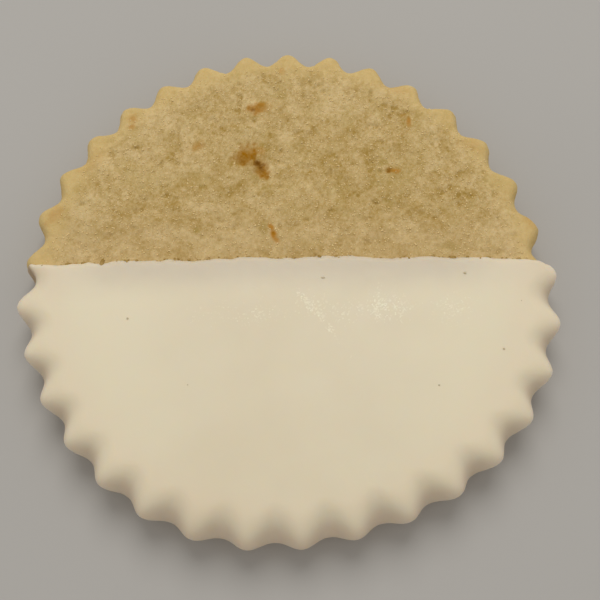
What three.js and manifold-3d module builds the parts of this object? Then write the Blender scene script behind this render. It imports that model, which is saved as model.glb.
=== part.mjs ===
// A round shortbread biscuit with a fluted edge, dipped a little more than half way into pale icing.
//
// Millimetres, +Z up. The biscuit lies flat on its coated underside. The bare half points to +Y,
// the dipped half to -Y, and the line where the icing ends runs along X.
// A bearing is an angle seen from above, clockwise from +Y, so x = r sin(bearing), y = r cos(bearing).

import * as THREE from 'three';
import { mergeVertices } from 'three/addons/utils/BufferGeometryUtils.js';
import Module from 'manifold-3d';

// The biscuit.
const TIP_RADIUS = 30;
const BISCUIT_THICKNESS = 5.2;
const TOOTH_COUNT = 33;
const TOOTH_DEPTH = 1.63;
const TOOTH_SHARPNESS = 1.0;
const FIRST_TOOTH_BEARING = 1.13;
const EDGE = { width: 1.2, height: 1.8, steps: 3 };
const FOOT = { width: 0.5, height: 0.9, steps: 1 };

// The icing around it. Its shoulder starts high on a tooth, and wider and lower between two.
const ICING_OVER = 1.0;
const ICING_UNDER = 0.8;
const ICING_AT_TIPS = 0.5;
const ICED_TOOTH_DEPTH = 0.95;
const ICED_TOOTH_SHARPNESS = 1.15;
const SHOULDER_ON_TOOTH = { width: 3.0, height: 2.6 };
const SHOULDER_BETWEEN = { width: 3.6, height: 4.2 };
const SHOULDER_STEPS = 4;
const ICED_FOOT = { width: 1.1, height: 2.4, steps: 2 };
const GAP = 0.2;

// The line where the icing ends: its y on the middle, its slope along x and its bow.
const DIP_LINE_Y = 1.95;
const DIP_LINE_SLOPE = 0.014;
const DIP_LINE_BOW = 0.00083;

// Hand-cut unevenness, as waves round the edge: how many, how large, and the bearing of a crest.
// The first list moves the teeth sideways, in degrees. The second moves the edge outwards.
const SPACING_WAVES = [
  { count: 1, size: 1.41, crest: -159 },
  { count: 2, size: 0.44, crest: -62 },
  { count: 3, size: 0.76, crest: -31 },
  { count: 4, size: 0.23, crest: 4 },
];
const RADIUS_WAVES = [
  { count: 2, size: 0.31, crest: -78 },
  { count: 3, size: 0.26, crest: -8 },
  { count: 4, size: 0.24, crest: 22 },
  { count: 5, size: 0.13, crest: -11 },
];

const SEGMENTS_PER_TOOTH = 7;
const DIP_LINE_STEPS = 12;

const BISCUIT_BASE = ICING_UNDER;
const BISCUIT_TOP = ICING_UNDER + BISCUIT_THICKNESS;
const TOP = BISCUIT_TOP + ICING_OVER;

const radians = THREE.MathUtils.degToRad;

function waveSum(waves, bearing) {
  const heights = waves.map(({ count, size, crest }) => size * Math.cos(count * (bearing - radians(crest))));
  return heights.reduce((sum, height) => sum + height, 0);
}

// How far up a tooth the edge is: 1 on its tip and 0 in the valley beside it.
// turn goes once round the edge while the teeth pass evenly.
function toothRise(turn) {
  return (1 + Math.cos(TOOTH_COUNT * turn)) / 2;
}

function toothBearing(turn) {
  return turn + radians(FIRST_TOOTH_BEARING + waveSum(SPACING_WAVES, turn));
}

// Points of a rounded edge, from the flat face to the wall.
// A point is [distance inside the wall, distance from the face].
function roundedEdge({ width, height, steps }) {
  return Array.from({ length: steps + 1 }, (_, step) => {
    const angle = (Math.PI / 2) * (step / steps);
    return [width * (1 - Math.sin(angle)), height * (1 - Math.cos(angle))];
  });
}

// Sections run from the axis on top to the axis underneath. A point is [distance inside the wall, z].
const AXIS = Infinity;

function biscuitSection(gap) {
  const low = BISCUIT_BASE - gap;
  const high = BISCUIT_TOP + gap;
  const edge = roundedEdge(EDGE).map(([inset, drop]) => [inset - gap, high - drop]);
  const foot = roundedEdge(FOOT).map(([inset, climb]) => [inset - gap, low + climb]);
  return () => [[AXIS, high], ...edge, ...foot.reverse(), [AXIS, low]];
}

function icedSection(rise) {
  const shoulder = roundedEdge({
    width: THREE.MathUtils.lerp(SHOULDER_BETWEEN.width, SHOULDER_ON_TOOTH.width, rise),
    height: THREE.MathUtils.lerp(SHOULDER_BETWEEN.height, SHOULDER_ON_TOOTH.height, rise),
    steps: SHOULDER_STEPS,
  });
  const foot = roundedEdge(ICED_FOOT);
  return [
    [AXIS, TOP],
    ...shoulder.map(([inset, drop]) => [inset, TOP - drop]),
    ...foot.reverse(),
    [AXIS, 0],
  ];
}

function keepWholeTriangles(geometry) {
  const corners = Array.from(geometry.index.array);
  const whole = [];
  for (let i = 0; i < corners.length; i += 3) {
    const [a, b, c] = corners.slice(i, i + 3);
    if (a !== b && b !== c && c !== a) whole.push(a, b, c);
  }
  geometry.setIndex(whole);
  return geometry;
}

function weld(geometry) {
  geometry.deleteAttribute('normal');
  geometry.deleteAttribute('uv');
  return keepWholeTriangles(mergeVertices(geometry, 1e-4));
}

// A turned body whose wall is pushed in and out to the fluted outline.
function flutedRound(tipRadius, toothDepth, sharpness, section) {
  const stations = section(1).length;
  const segments = TOOTH_COUNT * SEGMENTS_PER_TOOTH;
  const profile = section(1).map(([inset, z]) => new THREE.Vector2(Math.max(tipRadius - inset, 0), z));
  const geometry = new THREE.LatheGeometry(profile, segments);
  const position = geometry.getAttribute('position');
  for (let i = 0; i < position.count; i += 1) {
    const turn = 2 * Math.PI * (Math.floor(i / stations) % segments) / segments;
    const rise = toothRise(turn) ** sharpness;
    const bearing = toothBearing(turn);
    const wall = tipRadius + waveSum(RADIUS_WAVES, bearing) - toothDepth * (1 - rise);
    const [inset, z] = section(rise)[i % stations];
    const radius = Math.max(wall - inset, 0);
    position.setXYZ(i, radius * Math.sin(bearing), radius * Math.cos(bearing), z);
  }
  return weld(geometry);
}

function bakedRound(gap) {
  return flutedRound(TIP_RADIUS, TOOTH_DEPTH, TOOTH_SHARPNESS, biscuitSection(gap));
}

function icedRound() {
  return flutedRound(TIP_RADIUS + ICING_AT_TIPS, ICED_TOOTH_DEPTH, ICED_TOOTH_SHARPNESS, icedSection);
}

// The bath of icing: everything on the dipped side of the line.
function icingBath() {
  const reach = TIP_RADIUS * 1.5;
  const lineY = (x) => DIP_LINE_Y + DIP_LINE_SLOPE * x - DIP_LINE_BOW * x * x;
  const outline = new THREE.Shape();
  outline.moveTo(-reach, -reach);
  outline.lineTo(reach, -reach);
  for (let step = 0; step <= DIP_LINE_STEPS; step += 1) {
    const x = reach * (1 - 2 * step / DIP_LINE_STEPS);
    outline.lineTo(x, lineY(x));
  }
  outline.closePath();
  const bath = new THREE.ExtrudeGeometry(outline, { depth: TOP + 2, bevelEnabled: false });
  bath.translate(0, 0, -1);
  return weld(bath);
}

const wasm = await Module();
wasm.setup();

function solid(geometry) {
  return new wasm.Manifold(new wasm.Mesh({
    numProp: 3,
    vertProperties: new Float32Array(geometry.getAttribute('position').array),
    triVerts: new Uint32Array(geometry.index.array),
  }));
}

function surface(manifold) {
  const mesh = manifold.getMesh();
  const geometry = new THREE.BufferGeometry();
  geometry.setAttribute('position', new THREE.BufferAttribute(mesh.vertProperties, 3));
  geometry.setIndex(new THREE.BufferAttribute(mesh.triVerts, 1));
  return geometry;
}

function makeBiscuit() {
  const material = new THREE.MeshStandardMaterial({ color: 0xbb9f6b, roughness: 0.9, metalness: 0 });
  const biscuit = new THREE.Mesh(bakedRound(0), material);
  biscuit.name = 'biscuit';
  return biscuit;
}

// The icing wraps the dipped half on top, round the edge and underneath, with a pocket for the biscuit.
function makeIcing() {
  const dipped = solid(icedRound());
  const pocket = solid(bakedRound(GAP));
  const shell = dipped.intersect(solid(icingBath())).subtract(pocket);
  const material = new THREE.MeshStandardMaterial({ color: 0xdbcdb2, roughness: 0.45, metalness: 0 });
  const icing = new THREE.Mesh(surface(shell), material);
  icing.name = 'icing';
  return icing;
}

const dippedBiscuit = new THREE.Group();
dippedBiscuit.add(makeBiscuit(), makeIcing());

export default dippedBiscuit;
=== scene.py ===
"""A round shortbread biscuit with a fluted edge, dipped a little more than half way into pale icing.

The frame's two solids are replaced by fine meshes of the same form: the baked round with its crumb,
and the icing that wraps the dipped half. Grains, crumbs and specks too small for the frame lie on them.
A turn goes once round the edge, clockwise from +Y seen from above, while the teeth pass evenly.
"""

import math

import bmesh
import bpy
import numpy as np
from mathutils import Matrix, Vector
from mathutils.bvhtree import BVHTree


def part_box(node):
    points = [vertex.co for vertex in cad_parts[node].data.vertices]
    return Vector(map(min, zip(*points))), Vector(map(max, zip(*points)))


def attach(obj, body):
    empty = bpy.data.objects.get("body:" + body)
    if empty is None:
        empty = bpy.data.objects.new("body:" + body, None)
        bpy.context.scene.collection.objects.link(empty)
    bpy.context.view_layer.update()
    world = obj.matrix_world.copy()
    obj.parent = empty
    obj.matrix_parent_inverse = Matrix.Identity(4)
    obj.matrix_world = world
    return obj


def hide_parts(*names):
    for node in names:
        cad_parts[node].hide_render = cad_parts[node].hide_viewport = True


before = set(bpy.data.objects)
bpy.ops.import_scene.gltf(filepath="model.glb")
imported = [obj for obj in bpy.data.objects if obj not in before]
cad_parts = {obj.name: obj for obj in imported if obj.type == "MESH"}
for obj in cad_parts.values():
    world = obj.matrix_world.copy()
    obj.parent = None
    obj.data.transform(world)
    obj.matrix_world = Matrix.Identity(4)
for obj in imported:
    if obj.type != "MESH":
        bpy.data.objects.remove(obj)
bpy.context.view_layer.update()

MM = 0.001

# The round, as in the frame: the biscuit lies between its underside and its top, the icing around it.
TIP_RADIUS = 30 * MM
TOOTH_COUNT = 33
TOOTH_DEPTH = 1.63 * MM
FIRST_TOOTH = math.radians(1.13)
ICING_AT_TIPS = 0.5 * MM
ICED_TOOTH_DEPTH = 0.95 * MM
ICED_TOOTH_SHARPNESS = 1.15
BISCUIT_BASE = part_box("biscuit")[0].z
BISCUIT_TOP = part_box("biscuit")[1].z
ICING_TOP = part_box("icing")[1].z

# Waves round the edge: how many, how large (degrees, then metres), and the bearing of a crest.
SPACING_WAVES = ((1, 1.41, -159), (2, 0.44, -62), (3, 0.76, -31), (4, 0.23, 4))
RADIUS_WAVES = ((2, 0.31 * MM, -78), (3, 0.26 * MM, -8), (4, 0.24 * MM, 22), (5, 0.13 * MM, -11))

# The line where the icing ends, in plan.
DIP_LINE_Y = 2.2 * MM
DIP_LINE_SLOPE = 0.014
DIP_LINE_BOW = 0.83


# ---------------------------------------------------------------- noise

# A hash of whole numbers: odd multipliers, and how far the bits are shifted between them.
AXIS_MULTIPLIERS = (0x8DA6B343, 0xD8163841, 0xCB1AB31F)
SEED_MULTIPLIER = 0x9E3779B1
MIXING_STEPS = ((15, 0x2C1B3C6D), (12, 0x297A2D39))
LAST_SHIFT = 15
HASH_BITS = 32

# grain_noise draws its points and their numbers with seeds of its own, this far from the one given.
POINT_SEED_STEP = 11
NUMBER_SEED_STEP = 77


def cell_value(cells, seed):
    """A fixed random number from 0 to 1 for each whole-number cell."""
    mixed = np.uint32(seed * SEED_MULTIPLIER % 2 ** HASH_BITS)
    for axis, multiplier in enumerate(AXIS_MULTIPLIERS):
        mixed = mixed ^ cells[..., axis].astype(np.uint32) * np.uint32(multiplier)
    for shift, multiplier in MIXING_STEPS:
        mixed = (mixed ^ (mixed >> np.uint32(shift))) * np.uint32(multiplier)
    mixed = mixed ^ (mixed >> np.uint32(LAST_SHIFT))
    return mixed / 2.0 ** HASH_BITS


def smooth_noise(points, size, seed):
    """Soft hills and hollows of about that size, from -1 to 1."""
    scaled = points / size
    corner = np.floor(scaled).astype(np.int64)
    part = scaled - corner
    part = part * part * part * (part * (part * 6 - 15) + 10)
    total = np.zeros(len(points))
    for offset in np.ndindex(2, 2, 2):
        share = np.prod(np.where(np.array(offset) == 1, part, 1 - part), axis=1)
        total += share * cell_value(corner + np.array(offset), seed)
    return total * 2 - 1


def grain_noise(points, size, seed):
    """The distance to the nearest of scattered points, in units of size, and that point's own number."""
    scaled = points / size
    corner = np.floor(scaled).astype(np.int64)
    nearest = np.full(len(points), np.inf)
    number = np.zeros(len(points))
    for offset in np.ndindex(3, 3, 3):
        cell = corner + np.array(offset) - 1
        seeds = [seed + POINT_SEED_STEP * count for count in (1, 2, 3)]
        jitter = np.stack([cell_value(cell, own) for own in seeds], axis=1)
        distance = np.linalg.norm(cell + jitter - scaled, axis=1)
        closer = distance < nearest
        nearest = np.where(closer, distance, nearest)
        number = np.where(closer, cell_value(cell, seed + NUMBER_SEED_STEP), number)
    return nearest, number


def ramp(value, start, end):
    """0 up to start, 1 from end on, and a smooth climb between them."""
    share = np.clip((value - start) / (end - start), 0, 1)
    return share * share * (3 - 2 * share)


def lerp(start, end, share):
    return start + (end - start) * share


def mound(x, y, middle_x, middle_y, length, width):
    """1 at a middle, falling softly to about a third at that length along x or that width along y."""
    return np.exp(-((x - middle_x) / length) ** 2 - ((y - middle_y) / width) ** 2)


# ---------------------------------------------------------------- the round's form

# The biscuit's top sinks a little towards its rim: how far, between which radii, and above which height.
RIM_SAG = 0.28 * MM
SAG_REACH = (25.5 * MM, 29.5 * MM)
SAG_HEIGHT = (3 * MM, 5.5 * MM)

# The grid on top keeps to an even disc of this radius, and reaches for the teeth only near its rim.
EVEN_DISC_RADIUS = TIP_RADIUS - 2 * MM
RIM_POWER = 5

# Rows of the grid are bent to follow the dip line, out to this share of the square on either side.
BEND_PASSES = 12
BEND_SHARE = 0.5


def wave_sum(waves, angle):
    return sum(size * np.cos(count * (angle - math.radians(crest))) for count, size, crest in waves)


def tooth_rise(turn):
    """1 on a tooth's tip, 0 in the valley beside it."""
    return (1 + np.cos(TOOTH_COUNT * turn)) / 2


def tooth_bearing(turn):
    return turn + FIRST_TOOTH + np.radians(wave_sum(SPACING_WAVES, turn))


def dip_line(x):
    """The line's y at an x."""
    return DIP_LINE_Y + DIP_LINE_SLOPE * x - DIP_LINE_BOW * x * x


def in_plan(radius, turn, z):
    bearing = tooth_bearing(turn)
    return np.stack([radius * np.sin(bearing), radius * np.cos(bearing), z + 0 * radius], axis=-1)


class Baked:
    """The baked round's section: a rounded upper edge, a straight wall and a small rounded foot."""

    top = BISCUIT_TOP
    base = BISCUIT_BASE
    edge_width = 1.5 * MM
    edge_height = 1.9 * MM
    foot = 0.5 * MM
    inset = 0.0
    crowding = 0.85

    def wall(self, turn):
        even = TIP_RADIUS + wave_sum(RADIUS_WAVES, tooth_bearing(turn))
        return even - TOOTH_DEPTH * (1 - tooth_rise(turn)) - self.inset

    def flat(self, turn):
        return self.wall(turn) - self.edge_width

    def section(self, turn, share):
        """The point at a share of the way down the section, as a radius and a height."""
        height = self.top - self.base
        depth = height * (0.5 - 0.5 * np.cos(np.pi * share ** self.crowding))
        upper = np.clip(1 - depth / self.edge_height, 0, 1)
        lower = np.clip(1 - (height - depth) / self.foot, 0, 1)
        rounding = self.edge_width * (1 - np.sqrt(1 - upper ** 2))
        rounding = rounding + self.foot * (1 - np.sqrt(1 - lower ** 2))
        return self.wall(turn) - rounding, self.top - depth


class Iced:
    """The icing's outside: a long soft shoulder down to a blunt nose, and a foot that tucks in under it."""

    top = BISCUIT_TOP + 0.92 * MM
    foot = 1.1 * MM
    shoulder_share = 0.62

    # The shoulder's width in mm, in a valley and on a tooth's tip, at the front and at the sides.
    front_widths = (3.8, 3.7)
    side_widths = (3.4, 3.2)
    # The nose's height in mm, in a valley and on a tip, and how much more it is at the sides.
    nose_heights = (2.4, 4.2)
    side_nose = 1.0

    def rise(self, turn):
        return tooth_rise(turn) ** ICED_TOOTH_SHARPNESS

    def wall(self, turn):
        even = TIP_RADIUS + ICING_AT_TIPS + wave_sum(RADIUS_WAVES, tooth_bearing(turn))
        return even - ICED_TOOTH_DEPTH * (1 - self.rise(turn))

    def shoulder(self, turn):
        """The shoulder's width and the height of the nose under it, steeper at the sides."""
        rise = self.rise(turn)
        beside = np.sin(tooth_bearing(turn)) ** 2
        in_valley, on_tip = (lerp(*widths, beside) for widths in zip(self.front_widths, self.side_widths))
        nose = lerp(*self.nose_heights, rise) + self.side_nose * beside
        return lerp(in_valley, on_tip, rise) * MM, nose * MM

    def flat(self, turn):
        return self.wall(turn) - self.shoulder(turn)[0]

    def angles(self, share):
        """How far round the shoulder, and then round the foot, a share of the section has come."""
        shoulder = np.clip(share / self.shoulder_share, 0, 1)
        foot = np.clip((share - self.shoulder_share) / (1 - self.shoulder_share), 0, 1)
        return shoulder * np.pi / 2, foot * np.pi / 2

    def section(self, turn, share):
        width, nose = self.shoulder(turn)
        shoulder, foot = self.angles(share)
        radius = self.wall(turn) - width * (1 - np.sin(shoulder)) - self.foot * (1 - np.cos(foot))
        return radius, nose + (self.top - nose) * np.cos(shoulder) - nose * np.sin(foot)


class Skin(Baked):
    """The baked round a hair smaller, with its points set out to lie under the icing's."""

    inset = 0.12 * MM
    top = BISCUIT_TOP - inset
    base = BISCUIT_BASE + inset

    def flat(self, turn):
        return Iced().flat(turn)

    def section(self, turn, share):
        shoulder, foot = Iced().angles(share)
        radius = lerp(self.flat(turn), self.wall(turn), np.sin(shoulder))
        outward = np.clip(1 - (self.wall(turn) - radius) / self.edge_width, 0, 1)
        depth = self.edge_height * (1 - np.sqrt(1 - outward ** 2))
        depth = lerp(depth, self.top - self.base, np.sin(foot))
        lower = np.clip(1 - (self.top - self.base - depth) / self.foot, 0, 1)
        return radius - self.foot * (1 - np.sqrt(1 - lower ** 2)), self.top - depth


def rim_sag(points):
    """How far the biscuit's top sinks towards its rim."""
    reach = np.hypot(points[:, 0], points[:, 1])
    return RIM_SAG * ramp(reach, *SAG_REACH) * ramp(points[:, 2], *SAG_HEIGHT)


def disc_from_square(u, v):
    """Places a square grid over a disc, row by row, without crowding it at the middle or the edge."""
    wide = np.abs(u) >= np.abs(v)
    safe_u = np.where(u == 0, 1, u)
    safe_v = np.where(v == 0, 1, v)
    x = np.where(wide, u * np.cos(np.pi / 4 * v / safe_u), v * np.sin(np.pi / 4 * u / safe_v))
    y = np.where(wide, u * np.sin(np.pi / 4 * v / safe_u), v * np.cos(np.pi / 4 * u / safe_v))
    return np.hypot(x, y), np.arctan2(x, y)


def spread_over(edge_radius, u, v):
    """Radius and turn for points of the square, whose edge goes to edge_radius(turn)."""
    reach, turn = disc_from_square(u, v)
    beyond_disc = edge_radius(turn) - EVEN_DISC_RADIUS
    return EVEN_DISC_RADIUS * reach + beyond_disc * reach ** RIM_POWER, turn


def bend_rows(edge_radius, u, v, line_v, beyond=0.0):
    """Bends the square's rows so that the row at line_v lies that far beyond the dip line."""
    rows_u = u[:, -1]
    rows_v = np.full(len(rows_u), line_v)
    for _ in range(BEND_PASSES):
        radius, turn = spread_over(edge_radius, rows_u, rows_v)
        place = in_plan(radius, turn, 0)
        rows_v = rows_v + (dip_line(place[:, 0]) + beyond - place[:, 1]) / TIP_RADIUS
    room = 1 - np.clip(np.abs(v - line_v) / BEND_SHARE, 0, 1)
    return v + (rows_v[:, None] - line_v) * room * room * (3 - 2 * room)


# ---------------------------------------------------------------- meshes

def grid_faces(index):
    """Quads over a grid of vertex numbers, facing up where the second axis runs left of the first."""
    around = [index[:-1, :-1], index[1:, :-1], index[1:, 1:], index[:-1, 1:]]
    return np.stack(around, axis=-1).reshape(-1, 4)


def edge_path(columns, rows, closed):
    """The square's edge as grid places: down the left, along the bottom and up the right.

    Where closed, it goes back along the top too.
    """
    path = [(0, j) for j in range(rows, 0, -1)]
    path += [(i, 0) for i in range(columns)]
    path += [(columns, j) for j in range(rows + 1)]
    if closed:
        path += [(i, rows) for i in range(columns - 1, 0, -1)]
    return np.array(path)


def make_object(name, points, faces):
    mesh = bpy.data.meshes.new(name)
    mesh.from_pydata(points.tolist(), [], [face for kind in faces for face in kind.tolist()])
    mesh.validate()
    mesh.shade_smooth()
    piece = bpy.data.objects.new(name, mesh)
    bpy.context.scene.collection.objects.link(piece)
    return piece


def read_vertices(piece, what):
    flat = np.zeros(len(piece.data.vertices) * 3)
    piece.data.vertices.foreach_get(what, flat)
    return flat.reshape(-1, 3)


def move_points(piece, points):
    piece.data.vertices.foreach_set("co", points.ravel())
    piece.data.update()


def store(piece, name, values):
    """Keeps a number for each vertex, which the material reads."""
    attribute = piece.data.attributes.new(name, "FLOAT", "POINT")
    attribute.data.foreach_set("value", np.asarray(values, np.float32))


# ---------------------------------------------------------------- the baked round

# The grid on top: its columns, its rows on the bare and on the hidden side of the row at LINE_V, which
# is bent onto the dip line. Then the rings down the wall and, as shares of the radius, underneath,
# where the teeth fade towards the middle by this power.
BARE_ROWS = 132
HIDDEN_ROWS = 26
ROUND_COLUMNS = 340
WALL_STEPS = 20
LINE_V = 0.07
UNDER_SHARES = (0.975, 0.94, 0.89, 0.82, 0.73, 0.62, 0.49, 0.35, 0.2, 0.07)
UNDER_POWER = 4

# The crumb's unevenness: how large each kind is, and how far it stands out in mm. A grain ends at a
# share of its size, and the lowest has a share of the height. A pit starts and is full at two values
# of its noise. Where the crumb is smooth it loses a share of all but the swell.
SWELL_SIZE, SWELL_HEIGHT = 7.5 * MM, 0.09
LUMP_SIZE, LUMP_HEIGHT = 2.1 * MM, 0.11
SMALL_LUMP_SIZE, SMALL_LUMP_HEIGHT = 0.85 * MM, 0.07
GRAIN_SIZE, GRAIN_HEIGHT = 0.50 * MM, 0.05
GRAIN_REACH = 0.8
LOWEST_GRAIN = 0.3
PIT_SIZE, PIT_DEPTH = 1.0 * MM, 0.15
SMALL_PIT_SIZE, SMALL_PIT_SHARE = 0.45 * MM, 0.7
PIT_SPAN = (0.66, 1.2)
SMOOTH_LOSS = 0.65

# Where the crumb changes, from nothing to full: the size of the normal's z on walls and underneath,
# the distance from the middle, places along x and y, and the distance inland of the dip line.
WALL_TILT = (0.25, 0.65)
UNDER_TILT = (0.3, 0.8)
SMOOTH_REACH = (26.0 * MM, 28.2 * MM)
OUTER_REACH = (17.5 * MM, 26.0 * MM)
RIM_REACH = (25.0 * MM, 28.2 * MM)
LOWER_Y = (4 * MM, 11 * MM)
# painted shade: the top darker towards the back right
BACK_RIGHT_SHADE_X, BACK_RIGHT_SHADE_Y = (2 * MM, 12 * MM), (5 * MM, 10 * MM)
COVERED_INLAND = (0.4 * MM, 1.4 * MM)

# How much of the rim's smoothness the wall loses, how flat the underside is, how deep the brown spots
# and the whole crumb lie, and the most that the bare crumb stands out.
WALL_ROUGHNESS = 0.8
UNDER_FLATNESS = 0.5
BROWN_SPOT_DEPTH = 0.08 * MM
CRUMB_DEPTH = 0.04 * MM
MOST_RELIEF = 0.1 * MM

# The spots' uneven rims: two noises by size, strength and seed, where a spot starts to fade and ends
# as shares of its size, and how far below the top spots still show.
SPOT_WARPS = ((0.8 * MM, 0.45, 21), (0.4 * MM, 0.25, 22))
SPOT_FADE = (0.35, 1.35)
SPOT_REACH_DOWN = 1.5 * MM

# Browned spots by kind: x, y, half length, half width (mm), the angle of the long axis, and how strong.
SPOTS = {
    "olive": (
        (-3.75, 12.45, 0.50, 0.40, 0, 0.55),
        (-3.19, 22.07, 0.80, 0.70, 20, 0.90),
        (-2.70, 5.80, 0.65, 0.75, 0, 0.60),
        (11.24, 14.36, 0.75, 0.45, 10, 0.65),
        (-10.51, 5.55, 0.42, 0.38, 0, 0.80),
        (-0.52, 23.24, 0.65, 0.42, 15, 0.60),
        (2.40, 25.60, 1.30, 0.90, 30, 0.20),
        (-22.50, 5.00, 1.60, 1.20, 0, 0.18),
        (18.70, 3.60, 0.90, 0.55, 0, 0.45),
        (-24.50, 10.80, 1.30, 0.90, 50, 0.16),
        (-10.89, 16.41, 0.85, 0.75, 30, 0.50),
        (12.30, 13.15, 1.00, 0.55, 0, 0.45),
    ),
    "orange": (
        (-3.47, 15.88, 0.70, 0.60, 0, 0.45),
        (-3.50, 21.75, 1.35, 0.95, 25, 0.78),
        (-2.01, 6.05, 0.45, 0.28, -65, 0.70),
        (-1.62, 5.10, 0.90, 0.36, -68, 1.00),
        (12.60, 13.19, 0.75, 0.32, -3, 0.90),
        (14.45, 19.70, 0.80, 0.30, 88, 0.75),
        (13.83, 20.64, 0.50, 0.35, 0, 0.30),
        (-10.75, 16.41, 0.90, 0.72, 30, 0.50),
        (-18.70, 20.10, 0.60, 0.55, 0, 0.60),
        (-18.76, 19.08, 0.50, 0.40, 0, 0.60),
        (-0.87, 26.87, 0.60, 0.50, 80, 0.40),
        (-2.95, 12.80, 0.75, 0.55, -20, 0.60),
        (-27.00, 7.80, 1.60, 0.90, 70, 0.34),
        (28.00, 7.20, 1.40, 0.90, -70, 0.30),
        (-23.00, 14.50, 1.80, 1.10, 60, 0.16),
        (21.80, 16.80, 1.80, 1.10, -50, 0.16),
        (13.40, 24.40, 1.60, 1.00, -20, 0.20),
    ),
    "brown": (
        (-5.10, 15.05, 1.45, 1.30, 20, 1.00),
        (-5.35, 14.40, 0.60, 0.50, 60, 0.70),
        (-2.87, 12.77, 0.65, 0.50, -20, 0.80),
        (-3.20, 13.75, 1.35, 0.92, -62, 0.90),
        (-3.75, 21.60, 1.00, 0.70, 25, 0.50),
        (11.85, 13.19, 0.48, 0.42, 0, 0.90),
        (-1.71, 5.31, 0.35, 0.24, -65, 0.60),
    ),
    "dark": (
        (-3.55, 14.16, 0.62, 0.50, -50, 0.95),
        (-3.00, 14.02, 0.32, 0.20, 10, 0.70),
        (-3.10, 13.45, 0.42, 0.26, -60, 0.55),
        (-4.20, 21.30, 0.28, 0.24, 0, 0.60),
        (11.85, 13.19, 0.26, 0.24, 0, 0.55),
    ),
}


def crumb_relief(points, smoothness):
    """How far the baked crumb stands out, and the parts of it that the colour follows: each grain's number,
    and the pits, which the material darkens as painted shade.
    """
    swell = SWELL_HEIGHT * smooth_noise(points, SWELL_SIZE, seed=3)
    lumps = LUMP_HEIGHT * smooth_noise(points, LUMP_SIZE, seed=4)
    small_lumps = SMALL_LUMP_HEIGHT * smooth_noise(points, SMALL_LUMP_SIZE, seed=8)
    distance, number = grain_noise(points, GRAIN_SIZE, seed=5)
    grains = np.clip(1 - (distance / GRAIN_REACH) ** 2, 0, 1) * lerp(LOWEST_GRAIN, 1, number)
    hollow = smooth_noise(points, PIT_SIZE, seed=6)
    hollow = hollow + SMALL_PIT_SHARE * smooth_noise(points, SMALL_PIT_SIZE, seed=7)
    pits = ramp(-hollow, *PIT_SPAN)
    rough = 1 - SMOOTH_LOSS * smoothness
    height = swell + rough * (lumps + small_lumps + GRAIN_HEIGHT * grains - PIT_DEPTH * pits)
    return height * MM, number, pits * rough


def spot_strength(points, spots):
    """How strongly each point is coloured by spots with soft uneven rims."""
    warp = sum(strength * smooth_noise(points, size, seed) for size, strength, seed in SPOT_WARPS)
    total = np.zeros(len(points))
    for x, y, length, width, angle, strength in spots:
        cosine, sine = math.cos(math.radians(angle)), math.sin(math.radians(angle))
        east = points[:, 0] / MM - x
        north = points[:, 1] / MM - y
        along = (east * cosine + north * sine) / length
        across = (north * cosine - east * sine) / width
        total += strength * (1 - ramp(np.hypot(along, across) * (1 + warp), *SPOT_FADE))
    return np.where(points[:, 2] > BISCUIT_TOP - SPOT_REACH_DOWN, np.minimum(total, 1), 0)


def biscuit_sections(form, turn):
    """The rings down the wall and underneath, each as its radii and its height."""
    sections = [form.section(turn, step / WALL_STEPS) for step in range(1, WALL_STEPS + 1)]
    foot_radius = form.wall(turn) - form.foot
    for share in UNDER_SHARES:
        radius = lerp(TIP_RADIUS * share, foot_radius * share, share ** UNDER_POWER)
        sections.append((radius, form.base))
    return sections


def make_biscuit():
    form = Baked()
    hidden_rows = np.linspace(-1, LINE_V, HIDDEN_ROWS + 1)
    rows = np.concatenate([hidden_rows, np.linspace(LINE_V, 1, BARE_ROWS + 1)[1:]])
    u, v = np.meshgrid(np.linspace(-1, 1, ROUND_COLUMNS + 1), rows, indexing="ij")
    v = bend_rows(form.flat, u, v, LINE_V)
    radius, turn = spread_over(form.flat, u, v)
    index = np.arange(u.size).reshape(u.shape)
    path = edge_path(u.shape[0] - 1, u.shape[1] - 1, True)
    rim_turn = turn[path[:, 0], path[:, 1]]
    points = [in_plan(radius, turn, form.top).reshape(-1, 3)]
    rings = [index[path[:, 0], path[:, 1]]]
    first = u.size
    for ring_radius, ring_z in biscuit_sections(form, rim_turn):
        rings.append(first + np.arange(len(path)))
        points.append(in_plan(ring_radius, rim_turn, ring_z))
        first += len(path)
    points.append(np.array([[0, 0, form.base]]))
    quads = [grid_faces(index)]
    for upper, lower in zip(rings[:-1], rings[1:]):
        quads.append(np.stack([upper, lower, np.roll(lower, -1), np.roll(upper, -1)], axis=-1))
    fan = np.stack([rings[-1], np.full(len(path), first), np.roll(rings[-1], -1)], axis=-1)
    biscuit = make_object("baked_biscuit", np.concatenate(points), [np.concatenate(quads), fan])
    carve_crumb(biscuit)
    return biscuit


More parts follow.
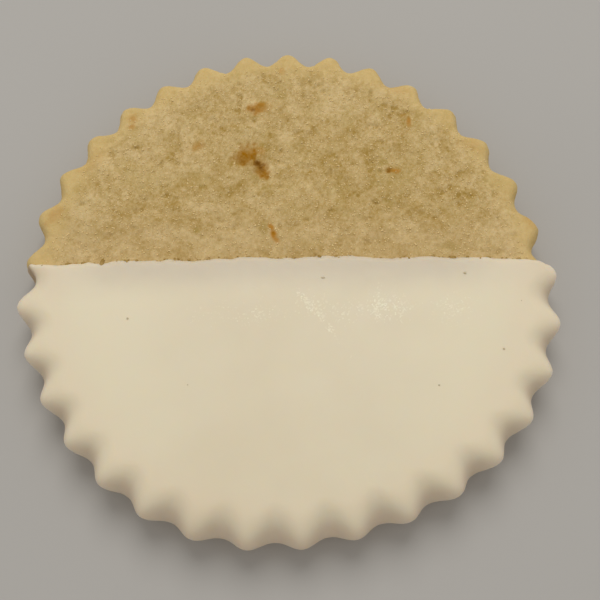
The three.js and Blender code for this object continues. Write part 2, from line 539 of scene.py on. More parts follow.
def carve_crumb(biscuit):
    """Gives the smooth round its crumb, and the numbers that its material reads."""
    points = read_vertices(biscuit, "co")
    normals = read_vertices(biscuit, "normal")
    outward = np.hypot(points[:, 0], points[:, 1])
    wall = 1 - ramp(np.abs(normals[:, 2]), *WALL_TILT)
    smoothness = ramp(outward, *SMOOTH_REACH) * (1 - WALL_ROUGHNESS * wall)
    height, number, pits = crumb_relief(points, smoothness)
    spots = {kind: spot_strength(points, places) for kind, places in SPOTS.items()}
    height = height - BROWN_SPOT_DEPTH * spots["brown"]
    under = ramp(-normals[:, 2], *UNDER_TILT)
    height = height * (1 - UNDER_FLATNESS * under) - CRUMB_DEPTH
    inland = dip_line(points[:, 0]) - points[:, 1]
    height = np.minimum(height, lerp(MOST_RELIEF, 0.0, ramp(inland, *COVERED_INLAND)))
    moved = points + normals * height[:, None]
    moved[:, 2] -= rim_sag(points)
    move_points(biscuit, moved)
    store(biscuit, "grain", number)
    # the pits, which the material darkens as painted shade
    store(biscuit, "pit", pits)
    store(biscuit, "outer", ramp(outward, *OUTER_REACH))
    store(biscuit, "rim", ramp(outward, *RIM_REACH))
    store(biscuit, "lower", 1 - ramp(points[:, 1], *LOWER_Y))
    # painted shade: the top darker towards the back right
    store(biscuit, "back_right_shade", ramp(points[:, 0], *BACK_RIGHT_SHADE_X) * ramp(points[:, 1], *BACK_RIGHT_SHADE_Y))
    for kind, strength in spots.items():
        store(biscuit, kind, strength)


# ---------------------------------------------------------------- the icing

# The grid: its columns, the rings round its edge, how far it goes beyond the dip line, and its rows.
ICING_COLUMNS = 260
ICING_STEPS = 24
LIP_BEYOND = 0.8 * MM
FINEST_ROW = 0.09 * MM
COARSEST_ROW = 0.32 * MM
ROW_GROWTH = 1.05
INNER_ROWS = 34

# The icing's ragged edge: two noises by size, how far they reach (mm) and seed. At its left end the
# edge climbs a little further.
EDGE_NOISES = ((2.6 * MM, 0.20, 31), (0.9 * MM, 0.16, 32))
LEFT_END_X = (26.5 * MM, 29.5 * MM)
LEFT_END_CLIMB = 0.45

# The first valley on the left, where the icing is thin: how far left, down and inland it goes, and
# how much of the icing's thickness is missing there.
THIN_X = (26.5 * MM, 28.0 * MM)
THIN_DOWN = (0.3 * MM, 1.0 * MM)
THIN_INLAND = (2.4 * MM, 3.8 * MM)
THIN_LOSS = 0.6

# The icing's thickness as shares of the full one: at its edge, what the rounded lip adds, and what the
# slow rise inland adds. Beyond the edge it tucks under the crumb, by a share of that thickness.
EDGE_COVER, LIP_COVER, BODY_COVER = 0.12, 0.60, 0.28
LIP_WIDTH, BODY_WIDTH, TUCK_WIDTH = 0.55 * MM, 2.6 * MM, 0.4 * MM
TUCKED = -0.45

# Soft swells of the icing's top, by size, height (mm) and seed, and where they begin.
SWELLS = ((10 * MM, 0.05, 41), (3.5 * MM, 0.02, 42))
SWELL_Z = (3 * MM, 6 * MM)
SWELL_INLAND = (0, 3 * MM)

# The icing's inside: a share of its thickness under the biscuit's skin at the edge, and on it inland.
INSIDE_DEPTH = 0.5
INSIDE_INLAND = (1.0 * MM, 3.5 * MM)

# Where the icing's painted light and shade change, from nothing to full. The painted shade along the edge
# loses a share to its ends, and the warm painted shade of the low parts starts with a share on the
# shoulder.
CREST_AND_VALLEY_SHADE_Z = (5.0 * MM, 6.9 * MM)
LOW_SHADE_Z = (5.0 * MM, 6.92 * MM)
EDGE_SHADE_INLAND = (0.3 * MM, 5.3 * MM)
EDGE_SHADE_ENDS_X, EDGE_SHADE_ENDS_LOSS = (17 * MM, 25 * MM), 0.55
SIDE_LIGHT_X = (8 * MM, 20 * MM)
SHOULDER_SHADE_REACH, SHOULDER_SHADE_SHARE = (23 * MM, 27 * MM), 0.24

# The crumb that shows through at the left, darkened as painted shade: middle, half length and half width in
# x and y (mm), the heights where it ends (mm), and its strength.
BARE_SHADED_CORNER = (-29.2, 0.2, 1.2, 1.5)
BARE_SHADED_CORNER_Z = (5.0, 6.3)
BARE_SHADED_CORNER_STRENGTH = 0.75

# Tiny bubbles and sugar dots, pale with painted glints: a band beside the dip line that fades in and out
# along x, in clouds round a middle strength, a thicker patch in it, and scratches. In mm, apart from those
# times MM.
BUBBLE_BAND_Y, BUBBLE_BAND_WIDTH, BUBBLE_BAND_STRENGTH = -4.2, 2.2, 0.55
BUBBLE_BAND_START, BUBBLE_BAND_END = (-20, -4), (17, 26)
BUBBLE_CLOUD_SIZE, BUBBLE_CLOUD_MIDDLE, BUBBLE_CLOUD_SWING = 3.0 * MM, 0.75, 0.5
BUBBLE_PATCH, BUBBLE_PATCH_STRENGTH = (10.5, -3.8, 3.5, 1.8), 0.25
BUBBLE_LOWEST_Z = 5 * MM
SCRATCH_STRENGTH = 0.5

# Scratches: where each starts and ends, its width (mm) and how full it is.
SCRATCHES = (
    (1.0, -2.0, 4.7, -6.4, 0.35, 1.0),
    (4.7, -6.4, 6.9, -9.7, 0.30, 0.9),
    (10.1, -1.4, 9.8, -5.4, 0.35, 0.7),
)


def icing_rows():
    """Rows from the far edge to the dip line, close together where the icing ends."""
    steps = [FINEST_ROW]
    while sum(steps) < TIP_RADIUS * (1 + LINE_V):
        steps.append(min(steps[-1] * ROW_GROWTH, COARSEST_ROW))
    inland = np.concatenate([[0], np.cumsum(steps)])
    return LINE_V - inland[::-1] / inland[-1] * (1 + LINE_V)


class Sheet:
    """A sheet over the top, round the edge and back underneath, open along the dip line."""

    def __init__(self, form, rows, first):
        u, v = np.meshgrid(np.linspace(-1, 1, ICING_COLUMNS + 1), rows, indexing="ij")
        v = bend_rows(form.flat, u, v, LINE_V, LIP_BEYOND)
        path = edge_path(u.shape[0] - 1, u.shape[1] - 1, False)
        self.top = first + np.arange(u.size).reshape(u.shape)
        self.under = self.top + u.size
        radius, turn = spread_over(form.flat, u, v)
        under_radius, _turn = spread_over(lambda angle: form.section(angle, 1.0)[0], u, v)
        points = [
            in_plan(radius, turn, form.top).reshape(-1, 3),
            in_plan(under_radius, turn, form.section(turn, 1.0)[1]).reshape(-1, 3),
        ]
        rim_turn = turn[path[:, 0], path[:, 1]]
        turns = [turn.ravel(), turn.ravel()]
        rings = [self.top[path[:, 0], path[:, 1]]]
        for step in range(1, ICING_STEPS):
            ring_radius, ring_z = form.section(rim_turn, step / ICING_STEPS)
            points.append(in_plan(ring_radius, rim_turn, ring_z))
            turns.append(rim_turn)
            rings.append(first + 2 * u.size + (step - 1) * len(path) + np.arange(len(path)))
        rings.append(self.under[path[:, 0], path[:, 1]])
        self.points = np.concatenate(points)
        self.turn = np.concatenate(turns)
        self.quads = self.faces_along(rings)
        self.border = self.open_edge(rings)

    def faces_along(self, rings):
        """Quads over the top, over the underside and from ring to ring between them."""
        quads = [grid_faces(self.top), grid_faces(self.under)[:, ::-1]]
        for upper, lower in zip(rings[:-1], rings[1:]):
            quads.append(np.stack([upper[:-1], lower[:-1], lower[1:], upper[1:]], axis=-1))
        return np.concatenate(quads)

    def open_edge(self, rings):
        """The points round the opening: along the line on top, and back along it underneath."""
        right = [ring[-1] for ring in rings[1:-1]]
        left = [ring[0] for ring in rings[1:-1]]
        border = [self.top[:, -1], right, self.under[::-1, -1], left[::-1]]
        return np.concatenate(border).astype(int)


def sheet_pair(rows, first):
    """The icing's outside, and the biscuit's skin under it point for point."""
    outer = Sheet(Iced(), rows, first)
    skin = Sheet(Skin(), rows, first)
    skin.points[:, 2] -= rim_sag(skin.points)
    return outer, skin


def inland_distance(points):
    """How far inside the icing's ragged edge each point lies, in metres."""
    ragged = sum(reach * smooth_noise(points, size, seed) for size, reach, seed in EDGE_NOISES)
    left_end = ramp(-points[:, 0], *LEFT_END_X)
    return dip_line(points[:, 0]) - points[:, 1] + (ragged + LEFT_END_CLIMB * left_end) * MM


def thin_place(outer, skin, inland):
    """Where the icing barely coats the first valley at the line's left end."""
    flank = ramp(BISCUIT_TOP - skin.points[:, 2], *THIN_DOWN)
    near_line = 1 - ramp(inland, *THIN_INLAND)
    return ramp(-outer.points[:, 0], *THIN_X) * flank * near_line


def between(skin, outer, cover):
    """Points at a share of the way from the skin to the icing's outside."""
    return skin.points + (outer.points - skin.points) * cover[:, None]


def pour(outer, skin):
    """The icing's outside, rounded down at its edge until it tucks under the crumb."""
    inland = inland_distance(outer.points)
    lip = np.sqrt(1 - (1 - np.clip(inland / LIP_WIDTH, 0, 1)) ** 2)
    body = 1 - np.exp(-np.clip(inland, 0, None) / BODY_WIDTH)
    tucked = lerp(TUCKED, EDGE_COVER, ramp(inland, -TUCK_WIDTH, 0))
    thin = thin_place(outer, skin, inland)
    cover = (EDGE_COVER + LIP_COVER * lip + BODY_COVER * body) * (1 - THIN_LOSS * thin)
    shaped = between(skin, outer, np.where(inland < 0, tucked, cover))
    swell = sum(height * smooth_noise(outer.points, size, seed) for size, height, seed in SWELLS)
    upper = ramp(outer.points[:, 2], *SWELL_Z)
    shaped[:, 2] += swell * MM * upper * ramp(inland, *SWELL_INLAND)
    return shaped, inland, thin


def bubbly(points):
    """How thickly the icing's top is strewn with tiny bubbles and sugar dots, painted pale with glints."""
    x, y = points[:, 0] / MM, points[:, 1] / MM
    band = np.exp(-((y - BUBBLE_BAND_Y) / BUBBLE_BAND_WIDTH) ** 2)
    band = band * ramp(x, *BUBBLE_BAND_START) * (1 - ramp(x, *BUBBLE_BAND_END))
    clouds = BUBBLE_CLOUD_MIDDLE + BUBBLE_CLOUD_SWING * smooth_noise(points, BUBBLE_CLOUD_SIZE, seed=51)
    total = BUBBLE_BAND_STRENGTH * band * clouds
    total += BUBBLE_PATCH_STRENGTH * mound(x, y, *BUBBLE_PATCH)
    for x_start, y_start, x_end, y_end, width, strength in SCRATCHES:
        span = np.array([x_end - x_start, y_end - y_start])
        along = np.clip(((x - x_start) * span[0] + (y - y_start) * span[1]) / (span @ span), 0, 1)
        away = np.hypot(x - x_start - along * span[0], y - y_start - along * span[1])
        total += SCRATCH_STRENGTH * strength * (1 - ramp(away, 0, 2 * width))
    return np.clip(total, 0, 1) * (points[:, 2] > BUBBLE_LOWEST_Z)


def bare_shaded_corner(points):
    """How much of the crumb shows through in the icing's first valley on the left, darkened there as
    painted shade.
    """
    x, y, z = points[:, 0] / MM, points[:, 1] / MM, points[:, 2] / MM
    return BARE_SHADED_CORNER_STRENGTH * mound(x, y, *BARE_SHADED_CORNER) * (1 - ramp(z, *BARE_SHADED_CORNER_Z))


def icing_looks(outer, outside, inland, thin):
    """The numbers that the icing's material reads, for the points of its outside: masks for its painted
    light and shade, its thin places and its dots.
    """
    aside, z = np.abs(outside[:, 0]), outside[:, 2]
    rise = tooth_rise(outer.turn)
    beside = np.sin(tooth_bearing(outer.turn)) ** 2 * (1 - ramp(z, *CREST_AND_VALLEY_SHADE_Z))
    shoulder = ramp(np.hypot(outside[:, 0], outside[:, 1]), *SHOULDER_SHADE_REACH)
    return {
        # painted highlight on the crests of the side teeth, and painted shade in their valleys
        "crest": beside * rise,
        "valley": beside * (1 - rise),
        # painted shade with a greyish painted reflection along the icing's edge at the dip line, weaker at
        # its ends
        "edge": (1 - ramp(inland, *EDGE_SHADE_INLAND)) * (1 - EDGE_SHADE_ENDS_LOSS * ramp(aside, *EDGE_SHADE_ENDS_X)),
        # painted light: the icing lighter towards its left and right
        "side": ramp(aside, *SIDE_LIGHT_X),
        # warm painted shade low on the icing's wall, and partly on its shoulder
        "low": np.maximum(1 - ramp(z, *LOW_SHADE_Z), SHOULDER_SHADE_SHARE * shoulder),
        # crumb colour where the icing is thin and in the first valley on the left, darkened as painted
        # shade
        "thin": np.maximum(thin, bare_shaded_corner(outside)),
        # pale dots of bubbles and sugar, with painted glints
        "bubbly": bubbly(outside),
    }


def make_icing():
    rows = icing_rows()
    outer, skin = sheet_pair(rows, 0)
    outside, inland, thin = pour(outer, skin)
    few_rows = np.interp(np.linspace(0, 1, INNER_ROWS + 1), np.linspace(0, 1, len(rows)), rows)
    inner, inner_skin = sheet_pair(few_rows, len(outside))
    depth = ramp(inland_distance(inner.points), *INSIDE_INLAND) - 1
    inside = between(inner_skin, inner, INSIDE_DEPTH * depth)
    next_outer, next_inner = np.roll(outer.border, -1), np.roll(inner.border, -1)
    strip = np.stack([outer.border, next_outer, next_inner, inner.border], axis=-1)
    points = np.concatenate([outside, inside])
    icing = make_object("icing_coat", points, [outer.quads, inner.quads[:, ::-1], strip])
    for name, values in icing_looks(outer, outside, inland, thin).items():
        store(icing, name, np.concatenate([values, np.zeros(len(inside))]))
    return icing


# ---------------------------------------------------------------- grains, crumbs and specks

# Pale grains: how many, where they may lie, how wide (mm), and how much longer than wide.
PALE_GRAIN_COUNT = 2600
PALE_GRAIN_X, PALE_GRAIN_Y = (-28 * MM, 28 * MM), (1 * MM, 29 * MM)
PALE_GRAINS_END = 27.6 * MM
PALE_GRAINS_OFF_LINE = 0.3 * MM
PALE_GRAIN_WIDTH = (0.11, 0.21)
PALE_GRAIN_STRETCH = (1, 1.5)

# Larger crumbs caught on the icing's edge: x, distance from the line, length, width (mm), angle.
EDGE_CRUMBS = (
    (-20.98, -0.25, 1.40, 0.52, 76),
    (-25.0, 0.10, 0.60, 0.35, 10),
    (-23.1, 0.05, 0.80, 0.40, -8),
    (-17.1, -0.05, 0.45, 0.40, 50),
    (-11.2, 0.05, 0.40, 0.30, 0),
    (-7.0, -0.02, 0.35, 0.28, 20),
    (3.6, -0.08, 0.50, 0.40, -35),
    (5.5, -0.05, 0.45, 0.38, 60),
    (18.8, -0.10, 0.80, 0.50, -10),
    (20.4, 0.0, 0.45, 0.35, 30),
    (22.8, 0.05, 0.55, 0.35, 0),
    (26.2, -0.05, 0.60, 0.35, 12),
)

# Small crumbs between them: how many, from where to where along x, how far off the line on average
# and give or take, how wide (mm), and how much longer than wide.
SMALL_CRUMB_COUNT = 70
SMALL_CRUMB_X = (-28.5, 28.0)
SMALL_CRUMB_OFF = (0.03, 0.12)
SMALL_CRUMB_WIDTH = (0.10, 0.26)
SMALL_CRUMB_STRETCH = (1, 1.8)

# Dark specks on the icing: x, y, length, width (mm).
DARK_SPECKS = (
    (3.98, -0.52, 0.378, 0.180),
    (19.93, 0.06, 0.324, 0.270),
    (23.68, -8.77, 0.252, 0.198),
    (16.39, -12.84, 0.216, 0.198),
    (-17.60, -5.32, 0.252, 0.216),
    (-10.7, -12.8, 0.144, 0.126),
    (26.0, -3.2, 0.126, 0.108),
)


class Surface:
    """Finds the highest point of some pieces at a place."""

    def __init__(self, pieces):
        self.trees = []
        for piece in pieces:
            faces = [tuple(face.vertices) for face in piece.data.polygons]
            self.trees.append(BVHTree.FromPolygons([vertex.co for vertex in piece.data.vertices], faces))

    def below(self, x, y):
        above = Vector((x, y, 2 * ICING_TOP))
        hits = [tree.ray_cast(above, Vector((0, 0, -1)))[0] for tree in self.trees]
        return max((hit for hit in hits if hit), key=lambda hit: hit.z, default=None)


def pebble_form(detail):
    form = bmesh.new()
    bmesh.ops.create_icosphere(form, subdivisions=detail, radius=0.5)
    points = np.array([vertex.co[:] for vertex in form.verts])
    faces = np.array([[vertex.index for vertex in face.verts] for face in form.faces])
    form.free()
    return points, faces


def turn_about_z(points, angle):
    cosine, sine = math.cos(angle), math.sin(angle)
    return points @ np.array([[cosine, sine, 0], [-sine, cosine, 0], [0, 0, 1]])


def scatter(name, surface, places, sizes, rng, height, sunk, detail=1, roughness=0.25):
    """One piece of many small lumps lying on a surface.

    Sizes are (length, width) pairs. The height is a share of the width, and sunk a share of the height.
    """
    form, form_faces = pebble_form(detail)
    points, faces = [], []
    for (x, y, angle), (length, width) in zip(places, sizes):
        spot = surface.below(x, y)
        if spot is None:
            continue
        lump = form * rng.uniform(1 - roughness, 1 + roughness, (len(form), 1))
        lump = turn_about_z(lump * (length, width, height * width), angle)
        faces.append(form_faces + len(points) * len(form))
        points.append(lump + np.array(spot) + (0, 0, (0.5 - sunk) * height * width))
    return make_object(name, np.concatenate(points), faces)


def on_dark_spot(x, y):
    """Whether a place in mm is on one of the browned spots."""
    return any(math.hypot(x - spot[0], y - spot[1]) < spot[2] for spot in SPOTS["brown"] + SPOTS["dark"])


def make_grains(surface):
    """Paler grains of flour and sugar that stand out of the bare top."""
    rng = np.random.default_rng(seed=5)
    places, sizes = [], []
    while len(places) < PALE_GRAIN_COUNT:
        x, y = rng.uniform(*PALE_GRAIN_X), rng.uniform(*PALE_GRAIN_Y)
        bare = math.hypot(x, y) < PALE_GRAINS_END and y > dip_line(x) + PALE_GRAINS_OFF_LINE
        if bare and not on_dark_spot(x / MM, y / MM):
            places.append((x, y, rng.uniform(0, math.pi)))
            width = rng.uniform(*PALE_GRAIN_WIDTH) * MM
            sizes.append((width * rng.uniform(*PALE_GRAIN_STRETCH), width))
    return scatter("pale_grains", surface, places, sizes, rng, height=0.7, sunk=0.35)


def make_edge_crumbs(surface):
    """Small brown crumbs along the line where the icing ends."""
    rng = np.random.default_rng(seed=8)
    places, sizes = [], []
    for x, off, length, width, angle in EDGE_CRUMBS:
        places.append((x * MM, dip_line(x * MM) + off * MM, math.radians(angle)))
        sizes.append((length * MM, width * MM))
    for _ in range(SMALL_CRUMB_COUNT):
        x = rng.uniform(*SMALL_CRUMB_X) * MM
        y = dip_line(x) + rng.normal(*SMALL_CRUMB_OFF) * MM
        places.append((x, y, rng.uniform(0, math.pi)))
        width = rng.uniform(*SMALL_CRUMB_WIDTH) * MM
        sizes.append((width * rng.uniform(*SMALL_CRUMB_STRETCH), width))
    form = {"height": 0.7, "sunk": 0.45, "detail": 2, "roughness": 0.2}
    return scatter("edge_crumbs", surface, places, sizes, rng, **form)


def make_dark_specks(surface):
    """Bits of crumb that came off into the icing."""
    rng = np.random.default_rng(seed=12)
    places = [(x * MM, y * MM, 0.0) for x, y, _length, _width in DARK_SPECKS]
    sizes = [(length * MM, width * MM) for _x, _y, length, width in DARK_SPECKS]
    return scatter("dark_specks", surface, places, sizes, rng, height=0.45, sunk=0.35, detail=2)


# ---------------------------------------------------------------- materials

# Clouds of two colours: their size, detail, the span of the noise that they fill, and the colours.
PALE_GRAIN_CLOUDS = (0.6 * MM, 2, (0.35, 0.65), (222, 195, 136), (236, 208, 148))
EDGE_CRUMB_CLOUDS = (0.9 * MM, 2, (0.35, 0.65), (182, 150, 90), (158, 126, 62))
ICING_CLOUDS = (11 * MM, 3, (0.35, 0.65), (230, 217, 188), (233, 221, 193))
DARK_SPECK_CLOUDS = (0.2 * MM, 2, (0.35, 0.65), (208, 194, 160), (192, 177, 142))
FLOOR_CLOUDS = (80 * MM, 2, (0.3, 0.7), (180, 177, 172), (184, 181, 176))

# The crumb runs from a dark to a light colour by its tone. Clouds and cells of several sizes move the
# tone up and down, and so do the numbers stored on the mesh, by what they do at 0 and at 1.
CRUMB_DARK, CRUMB_LIGHT = (170, 138, 69), (221, 195, 143)
TONE_SIZE, TONE_RANGE = 5.0 * MM, (0.385, 0.545)
TONE_CLOUDS = ((2.4 * MM, 0.15), (1.1 * MM, 0.12), (0.5 * MM, 0.11))
TONE_CELLS = ((0.45 * MM, 0.16), (0.24 * MM, 0.18), (0.13 * MM, 0.19))
# the pits darken as painted shade in the hollows, and the back right of the top darkens as painted shade
TONE_NUMBERS = (("grain", -0.06, 0.06), ("pit", 0, -0.24), ("outer", 0, 0.20), ("back_right_shade", 0, -0.09))
NOISE_SPAN = (0.25, 0.75)

# Duller patches on it: their size, the span of the noise that they fill, their strength and colour.
PATCH_SIZE, PATCH_SPAN, PATCH_STRENGTH, PATCH_COLOUR = 3.4 * MM, (0.50, 0.75), 0.35, (191, 167, 104)

# What the numbers stored on a mesh do to its colour: the number's name, how much at 1, and the colour.
CRUMB_TINTS = (
    ("lower", 0.25, (211, 182, 134)),
    ("rim", 0.65, (215, 186, 123)),
)
# On the icing these tints are painted light and shade, by place.
ICING_PAINTED_SHADING = (
    # painted light, lighter at the left and right
    ("side", 1.0, (236, 224, 195)),
    # painted shade and greyish reflection along the dip line
    ("edge", 0.9, (209, 197, 175)),
    # warm painted shade low down and on the shoulder
    ("low", 1.0, (232, 211, 184)),
    # painted highlight on the side teeth's crests
    ("crest", 1.0, (246, 230, 205)),
    # painted shade in the side teeth's valleys
    ("valley", 1.0, (212, 194, 166)),
)

# The browned spots' colours, and patches of this size in which they are weaker or stronger.
SPOT_COLOURS = {
    "olive": (164, 137, 66),
    "orange": (184, 126, 40),
    "brown": (158, 106, 4),
    "dark": (108, 66, 0),
}
SPOT_PATCH_SIZE, SPOT_PATCH_SPAN, SPOT_PATCH_RANGE = 0.5 * MM, (0.30, 0.60), (0.60, 1.0)

# Where the icing is thin the crumb's colour shows through, darkened as painted shade. The icing's dots are
# cells whose number is above a limit, pale with painted glints. The more bubbly it is, the lower the limit,
# and the stronger the dots up to a point.
THIN_SPAN, THIN_STRENGTH, THIN_SHADED_COLOUR = (0.1, 0.9), 0.75, (158, 128, 84)
DOT_SIZE, DOT_AND_GLINT_COLOUR = 0.16 * MM, (255, 248, 224)
DOT_LIMITS, DOT_TOP, DOT_SPAN = (1.0, 0.35), 1.05, (0, 0.6)


def colour(red, green, blue):
    """A colour as seen on a screen, 0 to 255, as the shader's linear numbers."""
    def linear(value):
        value = value / 255
        return value / 12.92 if value <= 0.04045 else ((value + 0.055) / 1.055) ** 2.4
    return (linear(red), linear(green), linear(blue), 1.0)


class Nodes:
    """A material and the nodes it is built from."""

    def __init__(self, name):
        self.material = bpy.data.materials.new(name)
        self.material.use_nodes = True
        self.tree = self.material.node_tree
        self.shader = self.tree.nodes["Principled BSDF"]

    def put(self, socket, value):
        if isinstance(value, bpy.types.NodeSocket):
            self.tree.links.new(value, socket)
        else:
            socket.default_value = value

    def attribute(self, name):
        node = self.tree.nodes.new("ShaderNodeAttribute")
        node.attribute_name = name
        return node.outputs["Fac"]

    def texture(self, kind, size):
        """A procedural texture laid in the piece's own space, with features about that large."""
        node = self.tree.nodes.new(kind)
        self.put(node.inputs["Vector"], self.tree.nodes.new("ShaderNodeTexCoord").outputs["Object"])
        self.put(node.inputs["Scale"], 1 / size)
        return node

    def noise(self, size, detail=2.0, roughness=0.5):
        node = self.texture("ShaderNodeTexNoise", size)
        self.put(node.inputs["Detail"], detail)
        self.put(node.inputs["Roughness"], roughness)
        return node.outputs["Fac"]

    def remap(self, value, low, high, to_low=0.0, to_high=1.0):
        node = self.tree.nodes.new("ShaderNodeMapRange")
        numbers = {"Value": value, "From Min": low, "From Max": high, "To Min": to_low, "To Max": to_high}
        for name, number in numbers.items():
            self.put(node.inputs[name], number)
        return node.outputs["Result"]

    def mix(self, share, first, second):
        node = self.tree.nodes.new("ShaderNodeMix")
        node.data_type = "RGBA"
        sockets = {socket.identifier: socket for socket in node.inputs}
        self.put(sockets["Factor_Float"], share)
        self.put(sockets["A_Color"], first)
        self.put(sockets["B_Color"], second)
        return next(socket for socket in node.outputs if socket.identifier == "Result_Color")

    def clouds(self, size, detail, span, first, second):
        """Soft clouds of two colours, about that large."""
        return self.mix(self.remap(self.noise(size, detail), *span), colour(*first), colour(*second))

    def tint(self, body, name, strength, shade):
        """Brings a colour in with the number of that name, up to that strength where it is 1."""
        return self.mix(self.remap(self.attribute(name), 0, 1, 0, strength), body, colour(*shade))

    def cells(self, size):
        """A random number for each of many touching cells."""
        return self.texture("ShaderNodeTexVoronoi", size).outputs["Color"]

    def combine(self, operation, first, second):
        node = self.tree.nodes.new("ShaderNodeMath")
        node.operation = operation
        self.put(node.inputs[0], first)
        self.put(node.inputs[1], second)
        return node.outputs["Value"]

    def add(self, first, second):
        return self.combine("ADD", first, second)

    def times(self, first, second):
        return self.combine("MULTIPLY", first, second)

    def bump(self, height, strength, distance):
        node = self.tree.nodes.new("ShaderNodeBump")
        self.put(node.inputs["Height"], height)
        self.put(node.inputs["Strength"], strength)
        self.put(node.inputs["Distance"], distance)
        self.put(self.shader.inputs["Normal"], node.outputs["Normal"])

    def finish(self, body, roughness, specular=0.25, subsurface=0.0, reach=(1.0, 0.7, 0.4), scale=MM):
        """Sets the shader. Light goes as far inside as scale times reach, for red, green and blue."""
        settings = {
            "Base Color": body, "Roughness": roughness, "Specular IOR Level": specular,
            "Subsurface Weight": subsurface, "Subsurface Radius": reach, "Subsurface Scale": scale,
        }
        for name, value in settings.items():
            self.put(self.shader.inputs[name], value)
        return self.material


def crumb_material():
    n = Nodes("baked_crumb")
    tone = n.remap(n.noise(TONE_SIZE, 1), *NOISE_SPAN, *TONE_RANGE)
    for size, reach in TONE_CLOUDS:
        tone = n.add(tone, n.remap(n.noise(size, 0), *NOISE_SPAN, -reach, reach))
    for size, reach in TONE_CELLS:
        tone = n.add(tone, n.remap(n.cells(size), 0, 1, -reach, reach))
    # these include painted shade in the pits and at the back right
    for name, at_none, at_full in TONE_NUMBERS:
        tone = n.add(tone, n.remap(n.attribute(name), 0, 1, at_none, at_full))
    body = n.mix(tone, colour(*CRUMB_DARK), colour(*CRUMB_LIGHT))
    patches = n.remap(n.noise(PATCH_SIZE, 2), *PATCH_SPAN, 0, PATCH_STRENGTH)
    body = n.mix(patches, body, colour(*PATCH_COLOUR))
    for name, strength, shade in CRUMB_TINTS:
        body = n.tint(body, name, strength, shade)
    uneven = n.remap(n.noise(SPOT_PATCH_SIZE, 2), *SPOT_PATCH_SPAN, *SPOT_PATCH_RANGE)
    for kind, shade in SPOT_COLOURS.items():
        body = n.mix(n.times(n.attribute(kind), uneven), body, colour(*shade))
    n.bump(n.noise(0.24 * MM, 3, 0.6), strength=0.6, distance=0.12 * MM)
    return n.finish(body, 0.85, specular=0.1, subsurface=0.12, reach=(1.0, 0.6, 0.25), scale=0.8 * MM)


def grain_material():
    n = Nodes("pale_grain")
    return n.finish(n.clouds(*PALE_GRAIN_CLOUDS), 0.6, specular=0.4)


def edge_crumb_material():
    n = Nodes("edge_crumb")
    n.bump(n.noise(0.15 * MM, 2), strength=0.4, distance=0.05 * MM)
    return n.finish(n.clouds(*EDGE_CRUMB_CLOUDS), 0.8, subsurface=0.1, scale=0.3 * MM)


def icing_material():
    n = Nodes("pale_icing")
    body = n.clouds(*ICING_CLOUDS)
    # painted light and shade by place on the icing
    for name, strength, shade in ICING_PAINTED_SHADING:
        body = n.tint(body, name, strength, shade)
    # the crumb's colour, darkened as painted shade, where the icing is thin
    thin = n.remap(n.attribute("thin"), *THIN_SPAN, 0, THIN_STRENGTH)
    body = n.mix(thin, body, colour(*THIN_SHADED_COLOUR))
    # pale dots of bubbles and sugar, with painted glints
    limit = n.remap(n.attribute("bubbly"), 0, 1, *DOT_LIMITS)
    dots = n.remap(n.cells(DOT_SIZE), limit, DOT_TOP)
    dots = n.times(dots, n.remap(n.attribute("bubbly"), *DOT_SPAN))
    body = n.mix(dots, body, colour(*DOT_AND_GLINT_COLOUR))
    n.bump(n.noise(0.4 * MM, 3), strength=0.05, distance=0.1 * MM)
    return n.finish(body, 0.42, specular=0.35, subsurface=0.5, reach=(1.0, 0.75, 0.45), scale=1.2 * MM)


def dark_speck_material():
    n = Nodes("dark_speck")
    return n.finish(n.clouds(*DARK_SPECK_CLOUDS), 0.6, subsurface=0.2, scale=0.2 * MM)


def floor_material():
    n = Nodes("pale_floor")
    return n.finish(n.clouds(*FLOOR_CLOUDS), 0.8)


# ---------------------------------------------------------------- the scene

# The floor's half width, and how far it lies under the part so that the two don't share a face.
FLOOR_REACH = 1.2
FLOOR_DROP = 0.02 * MM

# The camera: what it aims at, how high and how far away it is, its lens and sensor in mm, and the
# nearest that it sees.
CAMERA_AIM = Vector((1.41 * MM, -3.20 * MM, ICING_TOP))
CAMERA_ELEVATION = math.radians(71.4)
CAMERA_DISTANCE = 102.4 * MM
LENS = 55.4
SENSOR_WIDTH = 36
NEAREST_SEEN = 5 * MM

# The key light's place, width, power in watts and colour, and the sky's colour and strength.
KEY_PLACE = (0.0, 0.28, 0.44)
KEY_WIDTH = 0.35
KEY_POWER = 1.22
KEY_COLOUR = (1.0, 0.985, 0.955)
SKY_COLOUR = (1.0, 0.985, 0.965, 1.0)
SKY_STRENGTH = 0.485


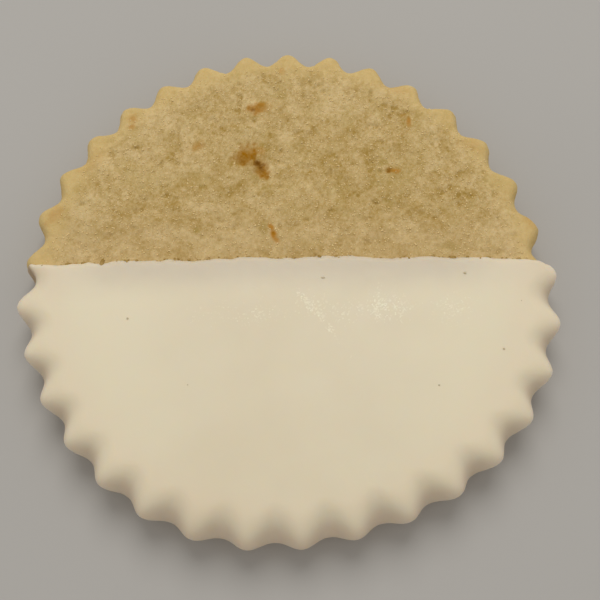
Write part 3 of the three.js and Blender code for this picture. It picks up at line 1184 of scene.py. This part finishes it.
def make_floor():
    reach = FLOOR_REACH
    edge = np.array([(-reach, -reach, 0), (reach, -reach, 0), (reach, reach, 0), (-reach, reach, 0)])
    floor = make_object("floor", edge, [np.array([[0, 1, 2, 3]])])
    floor.location.z = -FLOOR_DROP
    floor.data.materials.append(floor_material())


def look_from(thing, place, target):
    thing.location = place
    thing.rotation_euler = (Vector(target) - Vector(place)).to_track_quat("-Z", "Y").to_euler()


def make_camera():
    data = bpy.data.cameras.new("camera")
    data.sensor_width = SENSOR_WIDTH
    data.lens = LENS
    data.clip_start = NEAREST_SEEN
    camera = bpy.data.objects.new("camera", data)
    bpy.context.scene.collection.objects.link(camera)
    outward = Vector((0, -math.cos(CAMERA_ELEVATION), math.sin(CAMERA_ELEVATION)))
    look_from(camera, CAMERA_AIM + CAMERA_DISTANCE * outward, CAMERA_AIM)
    bpy.context.scene.camera = camera
    bpy.context.scene.view_settings.view_transform = "Standard"


def make_key_light():
    data = bpy.data.lights.new("key", "AREA")
    data.shape = "DISK"
    data.size = KEY_WIDTH
    data.energy = KEY_POWER
    data.color = KEY_COLOUR
    light = bpy.data.objects.new("key", data)
    bpy.context.scene.collection.objects.link(light)
    look_from(light, KEY_PLACE, (0, 0, 0))


def make_sky():
    world = bpy.data.worlds.new("studio")
    world.use_nodes = True
    background = world.node_tree.nodes["Background"]
    background.inputs["Color"].default_value = SKY_COLOUR
    background.inputs["Strength"].default_value = SKY_STRENGTH
    bpy.context.scene.world = world


def add_piece(piece, material, node=None):
    piece.data.materials.append(material)
    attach(piece, "root")
    if node:
        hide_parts(node)


def main():
    make_camera()
    make_key_light()
    make_sky()
    make_floor()
    biscuit = make_biscuit()
    icing = make_icing()
    crumb_surface = Surface([biscuit])
    icing_surface = Surface([biscuit, icing])
    add_piece(biscuit, crumb_material(), "biscuit")
    add_piece(icing, icing_material(), "icing")
    add_piece(make_grains(crumb_surface), grain_material())
    add_piece(make_edge_crumbs(icing_surface), edge_crumb_material())
    add_piece(make_dark_specks(icing_surface), dark_speck_material())


main()
